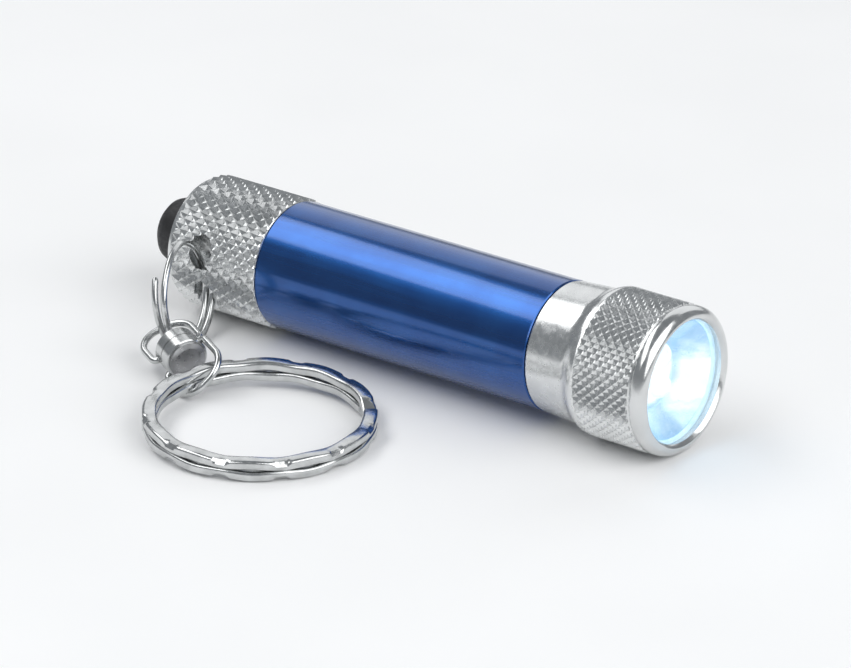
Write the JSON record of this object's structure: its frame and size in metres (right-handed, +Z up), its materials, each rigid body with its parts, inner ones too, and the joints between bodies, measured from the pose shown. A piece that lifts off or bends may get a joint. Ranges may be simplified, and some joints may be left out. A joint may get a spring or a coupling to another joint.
{
  "type": "keychain flashlight",
  "caption": "Small aluminium pocket torch with knurled head and tail, push button in the tail, and a swivel chain that carries a decorative key ring.",
  "frame": {"origin": "bottom centre of the whole object's box, on the table", "axes": "+X from the tail of the torch to its head, +Z up, the key ring on the -Y side"},
  "size_m": [0.074, 0.0458, 0.0171],
  "materials": {
    "barrel": "blue anodised, glossy",
    "tail_cap": "knurled, natural",
    "head_shell": "turned and knurled, natural",
    "bezel_ring": "polished",
    "lens": "clear",
    "lens_seal": "matte",
    "reflector": "silvered",
    "led": "clear epoxy, lit",
    "led_board": "circuit board",
    "cell": "nickel plated",
    "spring_steel": "bright wire",
    "sleeve": "thin plastic",
    "switch": "moulded",
    "button": "matte black",
    "o_ring": "matte",
    "contact": "stamped",
    "ring_steel": "nickel plated steel"
  },
  "bodies": {
    "torch_body": {"barrel": "barrel", "tail_cap": "tail_cap", "battery_sleeve": "sleeve", "button_cell_1": "cell", "button_cell_2": "cell", "button_cell_3": "cell", "button_cell_4": "cell", "switch_body": "switch", "tail_o_ring": "o_ring", "switch_spring": "spring_steel"},
    "button": {"push_button": "button", "switch_contact": "contact"},
    "head_seal": {"head_o_ring": "o_ring"},
    "head": {"head_shell": "head_shell", "bezel_ring": "bezel_ring", "lens": "lens", "lens_seal": "lens_seal", "reflector": "reflector", "led_1": "led", "led_2": "led", "led_3": "led", "led_board": "led_board", "front_contact_spring": "spring_steel"},
    "small_ring": {"small_split_ring": "ring_steel"},
    "ring_bail": {"bail_ring_side": "ring_steel"},
    "ring_cup": {"swivel_cup_ring_side": "ring_steel", "swivel_rivet": "ring_steel"},
    "key_cup": {"swivel_cup_key_side": "ring_steel"},
    "key_bail": {"bail_key_side": "ring_steel"},
    "key_loop": {"key_ring": "ring_steel"}
  },
  "joints": [
    {"name": "button_press", "type": "slide", "parent": "torch_body", "child": "button", "axis": [0.9999, 0, 0.0111], "range_m": [0, 0.0012], "stiffness_N_per_m": 900, "springref_m": -0.0005, "deforming": ["switch_spring"]},
    {"name": "head_turn", "type": "hinge", "parent": "head_seal", "child": "head", "pos_m": [0.02864, 0.01439, 0.00851], "axis": [0.9999, 0, 0.0111], "range_deg": [0, 720]},
    {"name": "head_advance", "type": "slide", "parent": "torch_body", "child": "head_seal", "axis": [0.9999, 0, 0.0111], "range_m": [0, 0.0016]},
    {"name": "small_ring_turn", "type": "hinge", "parent": "torch_body", "child": "small_ring", "pos_m": [-0.02481, 0.00267, 0.00642], "axis": [0.9568, 0.2564, 0.1374], "range_deg": [-8, 8]},
    {"name": "ring_bail_swing", "type": "hinge", "parent": "small_ring", "child": "ring_bail", "pos_m": [-0.02356, -0.00243, 0.0036], "axis": [-0.4239, -0.8401, -0.3383], "range_deg": [-5, 5]},
    {"name": "ring_bail_pivot", "type": "hinge", "parent": "ring_bail", "child": "ring_cup", "pos_m": [-0.02026, -0.00393, 0.0032], "axis": [-0.4239, -0.8401, -0.3383], "range_deg": [-6, 6]},
    {"name": "swivel_spin", "type": "hinge", "parent": "ring_cup", "child": "key_cup", "pos_m": [-0.0194, -0.00432, 0.0031], "axis": [0.9045, -0.4122, -0.1097], "range_deg": [-12, 12]},
    {"name": "key_bail_pivot", "type": "hinge", "parent": "key_cup", "child": "key_bail", "pos_m": [-0.01855, -0.00471, 0.003], "axis": [0.368, 0.6241, 0.6892], "range_deg": [-5, 5]},
    {"name": "key_ring_turn", "type": "hinge", "parent": "key_bail", "child": "key_loop", "pos_m": [-0.0032, -0.00989, 0.00175], "axis": [0.0348, -0.0141, 0.9993], "continuous": true}
  ],
  "couplings": [
    {"joint": "head_turn", "follows": "head_advance", "rad_per_m": 7854}
  ]
}
